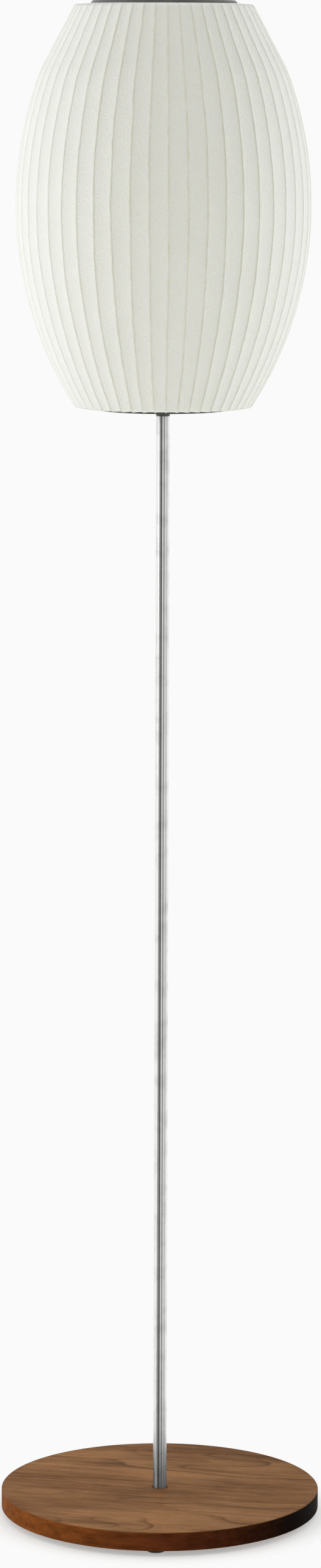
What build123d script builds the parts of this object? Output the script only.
from build123d import *
import os
from math import cos, hypot, radians, sin, tan

# A floor lamp: a ribbed barrel shade on a slim steel pole that stands in a round wooden base.
# The origin is on the floor under the middle of the base. +Z is up and -Y is the front.
# All sizes are in millimetres and all angles in degrees.

# Whole lamp
LAMP_HEIGHT = 1905.0
SHADE_HEIGHT = 500.0

# Wooden base
BASE_DIAMETER = 403.0
BASE_THICKNESS = 24.0
BASE_EDGE_CHAMFER = 0.8
POLE_SOCKET_DEPTH = 8.0
POLE_SOCKET_GAP = 0.8
POLE_SOCKET_CHAMFER = 0.9
CHANNEL_WIDTH = 10.0

# Steel ballast, let into the underside of the base
BALLAST_DIAMETER = 295.0
BALLAST_THICKNESS = 8.0
BALLAST_GAP = 0.5
BALLAST_WELL_DIAMETER = 36.0
BALLAST_EDGE_TO_SCREW = 18.0
BALLAST_SCREW_COUNT = 6

# Glides under the rim of the base
GLIDE_COUNT = 5
GLIDE_DIAMETER = 25.0
GLIDE_HEIGHT = 7.0
GLIDE_EDGE_CHAMFER = 1.5
GLIDE_TURN = -1.5
GLIDE_WELL_DIAMETER = 10.0
GLIDE_WELL_DEPTH = 4.0

# Screws
SCREW_SHANK_DIAMETER = 4.0
SCREW_HEAD_DIAMETER = 8.0
SCREW_HEAD_HEIGHT = 2.6
SCREW_HEAD_CHAMFER = 1.0
SCREW_GRIP_IN_WOOD = 11.0
SCREW_POINT_LENGTH = 3.0
SCREW_GAP = 0.15

# Pole and the hollow threaded rods in its two ends
POLE_DIAMETER = 17.1
POLE_WALL = 1.6
PLUG_LENGTH = 20.0
ROD_DIAMETER = 10.0
ROD_BORE = 7.0
ROD_IN_PLUG = 16.0
COLLAR_HEIGHT = 8.0
THREAD_GAP = 0.05

# Washers and nuts on the rods
WASHER_DIAMETER = 28.0
WASHER_THICKNESS = 2.0
NUT_ACROSS_FLATS = 17.0
NUT_HEIGHT = 4.0
BUSHING_FLANGE_DIAMETER = 12.0
BUSHING_FLANGE_HEIGHT = 1.5
BUSHING_SLEEVE_LENGTH = 6.0
BUSHING_BORE = 5.4

# Cord clamp across the channel
CLAMP_LENGTH = 34.0
CLAMP_WIDTH = 12.0
CLAMP_THICKNESS = 3.5
CLAMP_CHAMFER = 0.6
CLAMP_TO_AXIS = 70.0
CLAMP_SCREW_SPACING = 22.0
CLAMP_SCREW_DEPTH = 6.0

# Shade outline: a flat end, a long lower bow, the waist, an upper bow, a shoulder, a cone and a flat end
WAIST_DIAMETER = 361.6
CORNER_DIAMETER = 217.6
CORNER_RADIUS = 4.0
CONE_HEIGHT = 80.0
CONE_ANGLE = 27.8
SHOULDER_RADIUS = 150.0
TOP_CORNER_DROP = 6.0
BOTTOM_CORNER_RISE = 4.2
SKIN_THICKNESS = 0.8
GORE_COUNT = 8

# Wires under the skin
RIB_COUNT = 48
RIB_TURN = 2.1
RIB_WIRE = 1.8
RIB_GAP = 0.15

# Rings that hold the ends of the wires
TOP_RING_DIAMETER = 178.6
TOP_RING_WIDTH = 11.0
TOP_RING_ABOVE_SKIN = 3.5
TOP_RING_CHAMFER = 2.4
BOTTOM_RING_DIAMETER = 161.2
BOTTOM_RING_WIDTH = 10.0
BOTTOM_RING_BELOW_SKIN = 2.2
LIP_THICKNESS = 1.6
LIP_PAST_WIRE = 1.2
RING_TO_SKIN = 0.2

# Arms and hub of the lower ring, and what holds the hub down
SPIDER_ARM_COUNT = 3
SPIDER_ARM_WIDTH = 12.0
SPIDER_THICKNESS = 2.5
SPIDER_HUB_DIAMETER = 40.0
SPIDER_CORNER_RADIUS = 6.0
SPIDER_TURN = 30.0
HUB_WASHER_DIAMETER = 22.0
HUB_WASHER_THICKNESS = 1.5
HUB_NUT_HEIGHT = 5.0

# Riser tube between the hub and the lamp holder
RISER_DIAMETER = 13.0
RISER_LENGTH = 110.0
ROD_IN_RISER = 10.0

# Lamp holder, from its neck up
HOLDER_NECK_DIAMETER = 15.0
HOLDER_NECK_HEIGHT = 8.0
HOLDER_FLARE_HEIGHT = 10.0
HOLDER_RIM_HEIGHT = 5.0
HOLDER_CAP_WALL = 0.9
HOLDER_SHELL_HEIGHT = 41.0
HOLDER_SHELL_WALL = 0.8
HOLDER_FIT = 0.1
LINER_WALL = 0.8
LINER_SETBACK = 1.0
CORE_HEIGHT = 16.0
CORE_MARGIN = 0.4
TERMINAL_COUNT = 2
TERMINAL_POCKET_WIDTH = 8.0
TERMINAL_POCKET_HEIGHT = 9.0
TERMINAL_POCKET_DEPTH = 5.0
TERMINAL_HEAD_DIAMETER = 5.6
TERMINAL_HEAD_HEIGHT = 2.0
TERMINAL_SHANK_DIAMETER = 3.0
TERMINAL_SHANK_LENGTH = 6.0
THREAD_SHELL_HEIGHT = 23.0
THREAD_SHELL_WALL = 0.6
THREAD_SHELL_FLANGE = 2.5
CONTACT_WIDTH = 5.0
CONTACT_THICKNESS = 0.6
CONTACT_FOOT = 6.0
CONTACT_SLOPE = 2.0
CONTACT_RISE = 3.4
CONTACT_TIP = 3.0

# Light bulb with a screw cap
BULB_LENGTH = 133.0
BULB_DIAMETER = 67.0
BULB_NECK_DIAMETER = 29.0
BULB_CONE_ANGLE = 20.0
BULB_CAP_DIAMETER = 26.0
BULB_CAP_HEIGHT = 21.0
BULB_CAP_WALL = 0.6
BULB_CAP_GAP = 0.3
BULB_INSULATOR_HEIGHT = 3.5
BULB_CONTACT_DIAMETER = 9.5
BULB_CONTACT_HEIGHT = 1.5
BULB_FIT = 0.1

# Heights above the floor
base_bottom = GLIDE_HEIGHT
base_top = base_bottom + BASE_THICKNESS
recess_top = base_bottom + BALLAST_THICKNESS
pole_bottom = base_top - POLE_SOCKET_DEPTH
shade_bottom = LAMP_HEIGHT - SHADE_HEIGHT
pole_top = shade_bottom - COLLAR_HEIGHT
hub_top = shade_bottom + SPIDER_THICKNESS
hub_nut_bottom = hub_top + HUB_WASHER_THICKNESS
riser_bottom = hub_nut_bottom + HUB_NUT_HEIGHT
holder_bottom = riser_bottom + RISER_LENGTH
neck_top = holder_bottom + HOLDER_NECK_HEIGHT
rim_bottom = neck_top + HOLDER_FLARE_HEIGHT

# Radii that several pieces share
pole_radius = POLE_DIAMETER / 2
plug_radius = pole_radius - POLE_WALL
rod_radius = ROD_DIAMETER / 2
rod_hole_radius = rod_radius + THREAD_GAP
ballast_recess_radius = BALLAST_DIAMETER / 2 + BALLAST_GAP
glide_circle_radius = (ballast_recess_radius + BASE_DIAMETER / 2) / 2
ballast_screw_circle_radius = BALLAST_DIAMETER / 2 - BALLAST_EDGE_TO_SCREW
screw_radius = SCREW_SHANK_DIAMETER / 2
screw_hole_radius = screw_radius + SCREW_GAP
bulb_cap_radius = BULB_CAP_DIAMETER / 2
thread_shell_bore = bulb_cap_radius + BULB_CAP_GAP
thread_shell_radius = thread_shell_bore + THREAD_SHELL_WALL
core_radius = thread_shell_radius + CORE_MARGIN
liner_bore = core_radius + HOLDER_FIT
liner_radius = liner_bore + LINER_WALL
holder_shell_bore = liner_radius + HOLDER_FIT
holder_shell_radius = holder_shell_bore + HOLDER_SHELL_WALL
holder_cap_bore = holder_shell_radius + HOLDER_FIT
holder_cap_radius = holder_cap_bore + HOLDER_CAP_WALL

# The lamp holder's core rests on the flare of its cap, and the contact and the bulb stand on the core
core_rise = HOLDER_FLARE_HEIGHT * (core_radius - rod_hole_radius) / (holder_cap_bore - rod_hole_radius)
core_bottom = neck_top + core_rise + HOLDER_FIT
core_top = core_bottom + CORE_HEIGHT
bulb_bottom = core_top + CONTACT_RISE + CONTACT_THICKNESS + BULB_CAP_GAP
bulb_insulator_bottom = bulb_bottom + BULB_CONTACT_HEIGHT
bulb_cap_bottom = bulb_insulator_bottom + BULB_INSULATOR_HEIGHT
bulb_cap_top = bulb_cap_bottom + BULB_CAP_HEIGHT

# Angles round the lamp, counter-clockwise from +X as seen from above
half_panel = 180.0 / RIB_COUNT
front = -90.0
rib_start = front + RIB_TURN
glide_start = front + GLIDE_TURN

os.makedirs("parts", exist_ok=True)


def save(piece, name):
    """Labels a finished piece and writes it to its own file."""
    piece.label = name
    export_step(piece, f"parts/{name}.step")


# Wooden base with the pole socket on top, the ballast recess below and the cord channel to the back rim
with BuildPart() as base_disc:
    with BuildSketch(Plane.XY.offset(base_bottom)):
        Circle(BASE_DIAMETER / 2)
    extrude(amount=BASE_THICKNESS)
    chamfer(base_disc.edges().filter_by(GeomType.CIRCLE), BASE_EDGE_CHAMFER)
    with BuildSketch(Plane.XY.offset(base_bottom)):
        Circle(ballast_recess_radius)
        with Locations((0, BASE_DIAMETER / 4)):
            Rectangle(CHANNEL_WIDTH, BASE_DIAMETER / 2)
    extrude(amount=BALLAST_THICKNESS, mode=Mode.SUBTRACT)
    with BuildSketch(Plane.XY.offset(pole_bottom)):
        Circle(pole_radius + POLE_SOCKET_GAP)
    extrude(amount=POLE_SOCKET_DEPTH, mode=Mode.SUBTRACT)
    socket_edge = base_disc.edges().filter_by(GeomType.CIRCLE).group_by(Axis.Z)[-1].sort_by(SortBy.RADIUS)[0]
    chamfer(socket_edge, POLE_SOCKET_CHAMFER)
    with BuildSketch(Plane.XY.offset(recess_top)):
        Circle(rod_hole_radius)
    extrude(amount=pole_bottom - recess_top, mode=Mode.SUBTRACT)
    with BuildSketch(Plane.XY.offset(recess_top)):
        with PolarLocations(ballast_screw_circle_radius, BALLAST_SCREW_COUNT):
            Circle(screw_hole_radius)
    extrude(amount=SCREW_GRIP_IN_WOOD + SCREW_GAP, mode=Mode.SUBTRACT)
    with BuildSketch(Plane.XY.offset(base_bottom)):
        with PolarLocations(glide_circle_radius, GLIDE_COUNT, start_angle=glide_start):
            Circle(screw_hole_radius)
    extrude(amount=SCREW_GRIP_IN_WOOD + SCREW_GAP, mode=Mode.SUBTRACT)
save(base_disc.part, "base_disc")

# Ballast plate with a well round the rod and a slot that carries the channel on to the well
screw_head_depth = (SCREW_HEAD_DIAMETER - SCREW_SHANK_DIAMETER) / 2
with BuildPart() as ballast_plate:
    with BuildSketch(Plane.XY.offset(base_bottom)):
        Circle(BALLAST_DIAMETER / 2)
        Circle(BALLAST_WELL_DIAMETER / 2, mode=Mode.SUBTRACT)
        with Locations((0, BALLAST_DIAMETER / 4)):
            Rectangle(CHANNEL_WIDTH, BALLAST_DIAMETER / 2, mode=Mode.SUBTRACT)
    extrude(amount=BALLAST_THICKNESS)
    with Locations(Plane(origin=(0, 0, base_bottom), z_dir=(0, 0, -1))):
        with PolarLocations(ballast_screw_circle_radius, BALLAST_SCREW_COUNT):
            CounterSinkHole(screw_hole_radius, SCREW_HEAD_DIAMETER / 2 + SCREW_GAP, counter_sink_angle=90)
    with BuildSketch(Plane.XY.offset(base_bottom)):
        with Locations((0, CLAMP_TO_AXIS)):
            with GridLocations(CLAMP_SCREW_SPACING, 0, 2, 1):
                Circle(screw_hole_radius)
    extrude(amount=CLAMP_SCREW_DEPTH, mode=Mode.SUBTRACT)
save(ballast_plate.part, "ballast_plate")

# One countersunk wood screw, head down, and the ring of them that holds the ballast
with BuildPart() as countersunk_screw:
    with BuildSketch(Plane.XZ):
        with BuildLine():
            Polyline(
                (0, base_bottom),
                (SCREW_HEAD_DIAMETER / 2, base_bottom),
                (screw_radius, base_bottom + screw_head_depth),
                (screw_radius, recess_top + SCREW_GRIP_IN_WOOD - SCREW_POINT_LENGTH),
                (0, recess_top + SCREW_GRIP_IN_WOOD),
                close=True,
            )
        make_face()
    revolve(axis=Axis.Z)

with BuildPart() as ballast_screws:
    with PolarLocations(ballast_screw_circle_radius, BALLAST_SCREW_COUNT):
        add(countersunk_screw.part)
save(ballast_screws.part, "ballast_screws")

# One nylon glide, with a well for the head of its screw, and the pan-head screw that goes in it
with BuildPart() as glide:
    with BuildSketch(Plane.XY):
        Circle(GLIDE_DIAMETER / 2)
    extrude(amount=GLIDE_HEIGHT)
    chamfer(glide.edges().group_by(Axis.Z)[0], GLIDE_EDGE_CHAMFER)
    with BuildSketch(Plane.XY):
        Circle(GLIDE_WELL_DIAMETER / 2)
    extrude(amount=GLIDE_WELL_DEPTH, mode=Mode.SUBTRACT)
    with BuildSketch(Plane.XY.offset(GLIDE_WELL_DEPTH)):
        Circle(screw_hole_radius)
    extrude(amount=GLIDE_HEIGHT - GLIDE_WELL_DEPTH, mode=Mode.SUBTRACT)

with BuildPart() as pan_screw:
    with BuildSketch(Plane.XY.offset(GLIDE_WELL_DEPTH - SCREW_HEAD_HEIGHT)):
        Circle(SCREW_HEAD_DIAMETER / 2)
    extrude(amount=SCREW_HEAD_HEIGHT)
    chamfer(pan_screw.edges().group_by(Axis.Z)[0], SCREW_HEAD_CHAMFER)
    with BuildSketch(Plane.XY.offset(GLIDE_WELL_DEPTH)):
        Circle(screw_radius)
    extrude(amount=base_bottom + SCREW_GRIP_IN_WOOD - GLIDE_WELL_DEPTH)
    chamfer(pan_screw.edges().group_by(Axis.Z)[-1], screw_radius / 2)

for number in range(GLIDE_COUNT):
    angle = glide_start + number * 360.0 / GLIDE_COUNT
    with BuildPart() as placed_glide:
        with PolarLocations(glide_circle_radius, 1, start_angle=angle):
            add(glide.part)
    save(placed_glide.part, f"glide_{number + 1}")

with BuildPart() as glide_screws:
    with PolarLocations(glide_circle_radius, GLIDE_COUNT, start_angle=glide_start):
        add(pan_screw.part)
save(glide_screws.part, "glide_screws")

# Clamp that grips the cord in the channel, and its two screws
clamp_bottom = base_bottom - CLAMP_THICKNESS
with BuildPart() as cord_clamp:
    with BuildSketch(Plane.XY.offset(clamp_bottom)):
        with Locations((0, CLAMP_TO_AXIS)):
            SlotOverall(CLAMP_LENGTH, CLAMP_WIDTH)
            with GridLocations(CLAMP_SCREW_SPACING, 0, 2, 1):
                Circle(screw_hole_radius, mode=Mode.SUBTRACT)
    extrude(amount=CLAMP_THICKNESS)
    chamfer(cord_clamp.faces().sort_by(Axis.Z)[0].outer_wire().edges(), CLAMP_CHAMFER)
save(cord_clamp.part, "cord_clamp")

with BuildPart() as clamp_screws:
    with BuildSketch(Plane.XY.offset(clamp_bottom - SCREW_HEAD_HEIGHT)):
        with Locations((0, CLAMP_TO_AXIS)):
            with GridLocations(CLAMP_SCREW_SPACING, 0, 2, 1):
                Circle(SCREW_HEAD_DIAMETER / 2)
    extrude(amount=SCREW_HEAD_HEIGHT)
    chamfer(clamp_screws.edges().group_by(Axis.Z)[0], SCREW_HEAD_CHAMFER)
    with BuildSketch(Plane.XY.offset(clamp_bottom)):
        with Locations((0, CLAMP_TO_AXIS)):
            with GridLocations(CLAMP_SCREW_SPACING, 0, 2, 1):
                Circle(screw_radius)
    extrude(amount=CLAMP_THICKNESS + CLAMP_SCREW_DEPTH - SCREW_GAP)
save(clamp_screws.part, "clamp_screws")

# Washer and thin nut that draw the pole down from under the base, in the well of the ballast
washer_bottom = recess_top - WASHER_THICKNESS
with BuildPart() as pole_washer:
    with BuildSketch(Plane.XY.offset(washer_bottom)):
        Circle(WASHER_DIAMETER / 2)
        Circle(rod_hole_radius, mode=Mode.SUBTRACT)
    extrude(amount=WASHER_THICKNESS)
save(pole_washer.part, "pole_washer")

pole_nut_bottom = washer_bottom - NUT_HEIGHT
with BuildPart() as pole_nut:
    with BuildSketch(Plane.XY.offset(pole_nut_bottom)):
        RegularPolygon(NUT_ACROSS_FLATS / 2, 6, major_radius=False)
        Circle(rod_hole_radius, mode=Mode.SUBTRACT)
    extrude(amount=NUT_HEIGHT)
save(pole_nut.part, "pole_nut")

# Hollow rod from the nut up into the plug in the foot of the pole
with BuildPart() as foot_rod:
    with BuildSketch(Plane.XY.offset(pole_nut_bottom)):
        Circle(rod_radius)
        Circle(ROD_BORE / 2, mode=Mode.SUBTRACT)
    extrude(amount=pole_bottom + ROD_IN_PLUG - pole_nut_bottom)
save(foot_rod.part, "foot_rod")

# Smooth bushing in the lower end of the rod, where the cord comes out
with BuildPart() as outlet_bushing:
    with BuildSketch(Plane.XY.offset(pole_nut_bottom - BUSHING_FLANGE_HEIGHT)):
        Circle(BUSHING_FLANGE_DIAMETER / 2)
    extrude(amount=BUSHING_FLANGE_HEIGHT)
    with BuildSketch(Plane.XY.offset(pole_nut_bottom)):
        Circle(ROD_BORE / 2 - THREAD_GAP)
    extrude(amount=BUSHING_SLEEVE_LENGTH)
    with BuildSketch(Plane.XY.offset(pole_nut_bottom - BUSHING_FLANGE_HEIGHT)):
        Circle(BUSHING_BORE / 2)
    extrude(amount=BUSHING_FLANGE_HEIGHT + BUSHING_SLEEVE_LENGTH, mode=Mode.SUBTRACT)
    chamfer(
        outlet_bushing.edges().filter_by(GeomType.CIRCLE).group_by(Axis.Z)[0].sort_by(SortBy.RADIUS)[0],
        BUSHING_FLANGE_HEIGHT / 2,
    )
save(outlet_bushing.part, "outlet_bushing")

# Pole
with BuildPart() as pole_tube:
    with BuildSketch(Plane.XY.offset(pole_bottom)):
        Circle(pole_radius)
        Circle(plug_radius, mode=Mode.SUBTRACT)
    extrude(amount=pole_top - pole_bottom)
save(pole_tube.part, "pole_tube")

# Threaded plugs pressed into the two ends of the pole
for name, plug_bottom in (("foot_plug", pole_bottom), ("head_plug", pole_top - PLUG_LENGTH)):
    with BuildPart() as plug:
        with BuildSketch(Plane.XY.offset(plug_bottom)):
            Circle(plug_radius - THREAD_GAP)
            Circle(rod_hole_radius, mode=Mode.SUBTRACT)
        extrude(amount=PLUG_LENGTH)
    save(plug.part, name)

# Dark collar on top of the pole, which the shade stands on
with BuildPart() as pole_collar:
    with BuildSketch(Plane.XY.offset(pole_top)):
        Circle(pole_radius)
        Circle(rod_hole_radius, mode=Mode.SUBTRACT)
    extrude(amount=COLLAR_HEIGHT)
save(pole_collar.part, "pole_collar")


# The shade's outline on one side of its axis, drawn from the lower ring up to the upper ring
top_corner = LAMP_HEIGHT - TOP_CORNER_DROP
bottom_corner = shade_bottom + BOTTOM_CORNER_RISE
top_skin = LAMP_HEIGHT - TOP_RING_ABOVE_SKIN
bottom_skin = shade_bottom + BOTTOM_RING_BELOW_SKIN
waist = (top_corner + bottom_corner) / 2
waist_radius = WAIST_DIAMETER / 2
corner_radius = CORNER_DIAMETER / 2
shoulder_radius = corner_radius + CONE_HEIGHT * tan(radians(CONE_ANGLE))
shoulder = top_corner - CONE_HEIGHT
top_ring_radius = TOP_RING_DIAMETER / 2
bottom_ring_radius = BOTTOM_RING_DIAMETER / 2


def draw_shade_outline(outline, spread=1.0):
    """Draws the outer face of the skin into a BuildLine. Spread moves it out to where two panels meet."""
    corner = corner_radius * spread
    shoulder_point = (shoulder_radius * spread, shoulder)
    waist_point = (waist_radius * spread, waist)
    Line((bottom_ring_radius + RING_TO_SKIN, bottom_skin), (corner, bottom_corner))
    TangentArc(waist_point, (corner, bottom_corner), tangent=(0, -1))
    TangentArc(waist_point, shoulder_point, tangent=(0, 1))
    Line(shoulder_point, (corner, top_corner))
    Line((corner, top_corner), (top_ring_radius + RING_TO_SKIN, top_skin))
    for radius, place in ((CORNER_RADIUS, corner), (SHOULDER_RADIUS, shoulder_point[0])):
        fillet(outline.vertices().filter_by(lambda vertex: abs(vertex.X - place) < SKIN_THICKNESS), radius)


# Skin: one flat panel between two wires, cut to its wedge, joined to its neighbours in gores that meet face
# to face on a wire, and set all round
with BuildPart() as panel:
    with BuildSketch(Plane.XZ):
        with BuildLine() as skin_line:
            draw_shade_outline(skin_line)
            offset(amount=SKIN_THICKNESS, side=Side.LEFT)
        make_face()
    extrude(amount=waist_radius * tan(radians(half_panel)) + SKIN_THICKNESS, both=True)
    split(bisect_by=Plane.XZ.rotated((0, 0, -half_panel)), keep=Keep.BOTTOM)
    split(bisect_by=Plane.XZ.rotated((0, 0, half_panel)), keep=Keep.TOP)

gore_angle = 360.0 / GORE_COUNT
with BuildPart() as gore:
    with PolarLocations(0, RIB_COUNT // GORE_COUNT, start_angle=half_panel, angular_range=gore_angle):
        add(panel.part)

gores = []
for number in range(GORE_COUNT):
    with BuildPart() as placed_gore:
        with PolarLocations(0, 1, start_angle=rib_start + number * gore_angle):
            add(gore.part)
    gores += placed_gore.part.solids()
save(Compound(children=gores), "shade_skin")

# Wires: one bent like the crease between two panels, just inside it, and set all round.
# Both its ends lie flat on the rings, up to their lips.
top_lip_radius = top_ring_radius - TOP_RING_WIDTH + LIP_THICKNESS
bottom_lip_radius = bottom_ring_radius - BOTTOM_RING_WIDTH + LIP_THICKNESS
with BuildPart() as rib:
    with BuildSketch(Plane.XZ):
        with BuildLine() as crease:
            draw_shade_outline(crease, 1 / cos(radians(half_panel)))
            Line((bottom_lip_radius + RIB_GAP, bottom_skin), (bottom_ring_radius + RING_TO_SKIN, bottom_skin))
            Line((top_ring_radius + RING_TO_SKIN, top_skin), (top_lip_radius + RIB_GAP, top_skin))
            offset(
                amount=SKIN_THICKNESS + RIB_GAP,
                side=Side.LEFT,
                closed=False,
                kind=Kind.INTERSECTION,
                mode=Mode.REPLACE,
            )
            offset(amount=RIB_WIRE, side=Side.RIGHT, kind=Kind.INTERSECTION)
        make_face()
    extrude(amount=RIB_WIRE / 2, both=True)

with BuildPart() as rib_wires:
    with PolarLocations(0, RIB_COUNT, start_angle=rib_start):
        add(rib.part)
save(rib_wires.part, "rib_wires")

# Upper ring: a bevelled plate over the ends of the wires, with a lip that goes down past them
lip_height = RIB_GAP + RIB_WIRE + LIP_PAST_WIRE
top_seat = top_skin - SKIN_THICKNESS
with BuildPart() as upper_ring:
    with BuildSketch(Plane.XY.offset(top_seat)):
        Circle(top_ring_radius)
    extrude(amount=LAMP_HEIGHT - top_seat)
    chamfer(upper_ring.edges().group_by(Axis.Z)[-1], TOP_RING_CHAMFER)
    with BuildSketch(Plane.XY.offset(top_seat)):
        Circle(top_lip_radius)
    extrude(amount=-lip_height)
    with BuildSketch(Plane.XY.offset(LAMP_HEIGHT)):
        Circle(top_lip_radius - LIP_THICKNESS)
    extrude(amount=-(LAMP_HEIGHT - top_seat + lip_height), mode=Mode.SUBTRACT)
save(upper_ring.part, "upper_ring")

# Lower ring: a plate and a lip for the wires, carried on the pole by three arms and a hub
bottom_seat = bottom_skin + SKIN_THICKNESS
hub_radius = SPIDER_HUB_DIAMETER / 2
with BuildPart() as lower_ring:
    with BuildSketch(Plane.XY.offset(shade_bottom)) as spider:
        Circle(bottom_lip_radius)
        Circle(bottom_lip_radius - LIP_THICKNESS, mode=Mode.SUBTRACT)
        Circle(hub_radius)
        with PolarLocations(bottom_lip_radius / 2, SPIDER_ARM_COUNT, start_angle=SPIDER_TURN):
            Rectangle(bottom_lip_radius, SPIDER_ARM_WIDTH)
        inner_corners = spider.vertices().filter_by(lambda v: hypot(v.X, v.Y) < bottom_lip_radius - RIB_GAP)
        fillet(inner_corners, SPIDER_CORNER_RADIUS)
        Circle(rod_hole_radius, mode=Mode.SUBTRACT)
    extrude(amount=SPIDER_THICKNESS)
    with BuildSketch(Plane.XY.offset(shade_bottom)):
        Circle(bottom_ring_radius)
        Circle(bottom_lip_radius - LIP_THICKNESS, mode=Mode.SUBTRACT)
    extrude(amount=bottom_seat - shade_bottom)
    with BuildSketch(Plane.XY.offset(bottom_seat)):
        Circle(bottom_lip_radius)
        Circle(bottom_lip_radius - LIP_THICKNESS, mode=Mode.SUBTRACT)
    extrude(amount=lip_height)
save(lower_ring.part, "lower_ring")

# Washer and nut on the hub, and the hollow rod that runs from the head of the pole up into the riser
with BuildPart() as hub_washer:
    with BuildSketch(Plane.XY.offset(hub_top)):
        Circle(HUB_WASHER_DIAMETER / 2)
        Circle(rod_hole_radius, mode=Mode.SUBTRACT)
    extrude(amount=HUB_WASHER_THICKNESS)
save(hub_washer.part, "hub_washer")

with BuildPart() as hub_nut:
    with BuildSketch(Plane.XY.offset(hub_nut_bottom)):
        RegularPolygon(NUT_ACROSS_FLATS / 2, 6, major_radius=False)
        Circle(rod_hole_radius, mode=Mode.SUBTRACT)
    extrude(amount=HUB_NUT_HEIGHT)
save(hub_nut.part, "hub_nut")

with BuildPart() as head_rod:
    with BuildSketch(Plane.XY.offset(pole_top - ROD_IN_PLUG)):
        Circle(rod_radius)
        Circle(ROD_BORE / 2, mode=Mode.SUBTRACT)
    extrude(amount=riser_bottom + ROD_IN_RISER - pole_top + ROD_IN_PLUG)
save(head_rod.part, "head_rod")

# Riser tube, and the short hollow rod that joins it to the lamp holder
with BuildPart() as riser_tube:
    with BuildSketch(Plane.XY.offset(riser_bottom)):
        Circle(RISER_DIAMETER / 2)
        Circle(rod_hole_radius, mode=Mode.SUBTRACT)
    extrude(amount=RISER_LENGTH)
save(riser_tube.part, "riser_tube")

with BuildPart() as holder_rod:
    with BuildSketch(Plane.XY.offset(holder_bottom - ROD_IN_RISER)):
        Circle(rod_radius)
        Circle(ROD_BORE / 2, mode=Mode.SUBTRACT)
    extrude(amount=ROD_IN_RISER + HOLDER_NECK_HEIGHT)
save(holder_rod.part, "holder_rod")

# Lamp holder: a flared cap, a metal shell with an insulating liner, and a core inside them
with BuildPart() as holder_cap:
    with BuildSketch(Plane.XZ):
        with BuildLine():
            Polyline(
                (rod_hole_radius, holder_bottom),
                (HOLDER_NECK_DIAMETER / 2, holder_bottom),
                (HOLDER_NECK_DIAMETER / 2, neck_top),
                (holder_cap_radius, rim_bottom),
                (holder_cap_radius, rim_bottom + HOLDER_RIM_HEIGHT),
                (holder_cap_bore, rim_bottom + HOLDER_RIM_HEIGHT),
                (holder_cap_bore, rim_bottom),
                (rod_hole_radius, neck_top),
                close=True,
            )
        make_face()
    revolve(axis=Axis.Z)
save(holder_cap.part, "holder_cap")

with BuildPart() as holder_shell:
    with BuildSketch(Plane.XY.offset(rim_bottom)):
        Circle(holder_shell_radius)
        Circle(holder_shell_bore, mode=Mode.SUBTRACT)
    extrude(amount=HOLDER_SHELL_HEIGHT)
save(holder_shell.part, "holder_shell")

with BuildPart() as holder_liner:
    with BuildSketch(Plane.XY.offset(rim_bottom)):
        Circle(liner_radius)
        Circle(liner_bore, mode=Mode.SUBTRACT)
    extrude(amount=HOLDER_SHELL_HEIGHT - LINER_SETBACK)
save(holder_liner.part, "holder_liner")

# Core with a pocket and a blind hole on each side for a terminal screw
pocket_floor = core_radius - TERMINAL_POCKET_DEPTH
core_middle = core_bottom + CORE_HEIGHT / 2
with BuildPart() as holder_core:
    with BuildSketch(Plane.XY.offset(core_bottom)):
        Circle(core_radius)
    extrude(amount=CORE_HEIGHT)
    for side in range(TERMINAL_COUNT):
        turned = Plane.YZ.rotated((0, 0, side * 360.0 / TERMINAL_COUNT))
        with BuildSketch(turned.offset(pocket_floor)):
            with Locations((0, core_middle)):
                Rectangle(TERMINAL_POCKET_WIDTH, TERMINAL_POCKET_HEIGHT)
        extrude(amount=TERMINAL_POCKET_DEPTH, mode=Mode.SUBTRACT)
        with BuildSketch(turned.offset(pocket_floor)):
            with Locations((0, core_middle)):
                Circle(TERMINAL_SHANK_DIAMETER / 2 + SCREW_GAP)
        extrude(amount=-(TERMINAL_SHANK_LENGTH + SCREW_GAP), mode=Mode.SUBTRACT)
save(holder_core.part, "holder_core")

with BuildPart() as terminal_screws:
    for side in range(TERMINAL_COUNT):
        turned = Plane.YZ.rotated((0, 0, side * 360.0 / TERMINAL_COUNT))
        with BuildSketch(turned.offset(pocket_floor)):
            with Locations((0, core_middle)):
                Circle(TERMINAL_HEAD_DIAMETER / 2)
        extrude(amount=TERMINAL_HEAD_HEIGHT)
        with BuildSketch(turned.offset(pocket_floor)):
            with Locations((0, core_middle)):
                Circle(TERMINAL_SHANK_DIAMETER / 2)
        extrude(amount=-TERMINAL_SHANK_LENGTH)
save(terminal_screws.part, "terminal_screws")

# Threaded shell that the bulb screws into, drawn with plain walls, and the springy centre contact
with BuildPart() as thread_shell:
    with BuildSketch(Plane.XZ):
        with BuildLine():
            Polyline(
                (thread_shell_bore - THREAD_SHELL_FLANGE, core_top),
                (thread_shell_radius, core_top),
                (thread_shell_radius, core_top + THREAD_SHELL_HEIGHT),
                (thread_shell_bore, core_top + THREAD_SHELL_HEIGHT),
                (thread_shell_bore, core_top + THREAD_SHELL_WALL),
                (thread_shell_bore - THREAD_SHELL_FLANGE, core_top + THREAD_SHELL_WALL),
                close=True,
            )
        make_face()
    revolve(axis=Axis.Z)
save(thread_shell.part, "thread_shell")

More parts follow.
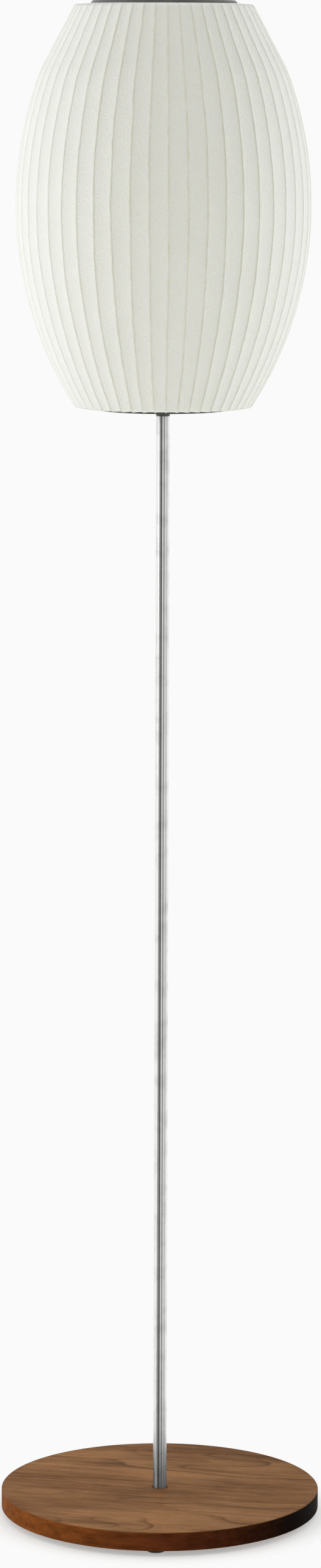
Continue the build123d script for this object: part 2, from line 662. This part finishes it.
contact_end = -(CONTACT_TIP / 2 + CONTACT_SLOPE + CONTACT_FOOT)
with BuildPart() as centre_contact:
    with BuildSketch(Plane.XZ):
        with BuildLine():
            Polyline(
                (contact_end, core_top),
                (contact_end + CONTACT_FOOT, core_top),
                (-CONTACT_TIP / 2, core_top + CONTACT_RISE),
                (CONTACT_TIP / 2, core_top + CONTACT_RISE),
            )
            offset(amount=CONTACT_THICKNESS, side=Side.LEFT)
        make_face()
    extrude(amount=CONTACT_WIDTH / 2, both=True)
save(centre_contact.part, "centre_contact")

# Light bulb: contact, insulator, threaded cap with plain walls, and an opal envelope, closed and left solid
with BuildPart() as bulb_contact:
    with BuildSketch(Plane.XY.offset(bulb_bottom)):
        Circle(BULB_CONTACT_DIAMETER / 2)
    extrude(amount=BULB_CONTACT_HEIGHT)
save(bulb_contact.part, "bulb_contact")

bulb_plug_radius = bulb_cap_radius - BULB_CAP_WALL
with BuildPart() as bulb_insulator:
    with BuildSketch(Plane.XY.offset(bulb_insulator_bottom)):
        Circle(BULB_CONTACT_DIAMETER / 2)
    with BuildSketch(Plane.XY.offset(bulb_cap_bottom)):
        Circle(bulb_plug_radius)
    loft()
save(bulb_insulator.part, "bulb_insulator")

with BuildPart() as bulb_cap:
    with BuildSketch(Plane.XY.offset(bulb_cap_bottom)):
        Circle(bulb_cap_radius)
        Circle(bulb_plug_radius, mode=Mode.SUBTRACT)
    extrude(amount=BULB_CAP_HEIGHT)
save(bulb_cap.part, "bulb_cap")

bulb_radius = BULB_DIAMETER / 2
bulb_centre = bulb_bottom + BULB_LENGTH - bulb_radius
cone_top_radius = bulb_radius * cos(radians(BULB_CONE_ANGLE))
cone_top = bulb_centre - bulb_radius * sin(radians(BULB_CONE_ANGLE))
cone_bottom = cone_top - (cone_top_radius - BULB_NECK_DIAMETER / 2) / tan(radians(BULB_CONE_ANGLE))
with BuildPart() as bulb_envelope:
    with BuildSketch(Plane.XZ):
        with BuildLine():
            Polyline(
                (0, bulb_centre + bulb_radius),
                (0, bulb_cap_bottom),
                (bulb_plug_radius - BULB_FIT, bulb_cap_bottom),
                (bulb_plug_radius - BULB_FIT, bulb_cap_top),
                (BULB_NECK_DIAMETER / 2, bulb_cap_top),
                (BULB_NECK_DIAMETER / 2, cone_bottom),
                (cone_top_radius, cone_top),
            )
            CenterArc((0, bulb_centre), bulb_radius, -BULB_CONE_ANGLE, 90 + BULB_CONE_ANGLE)
        make_face()
    revolve(axis=Axis.Z)
save(bulb_envelope.part, "bulb_envelope")
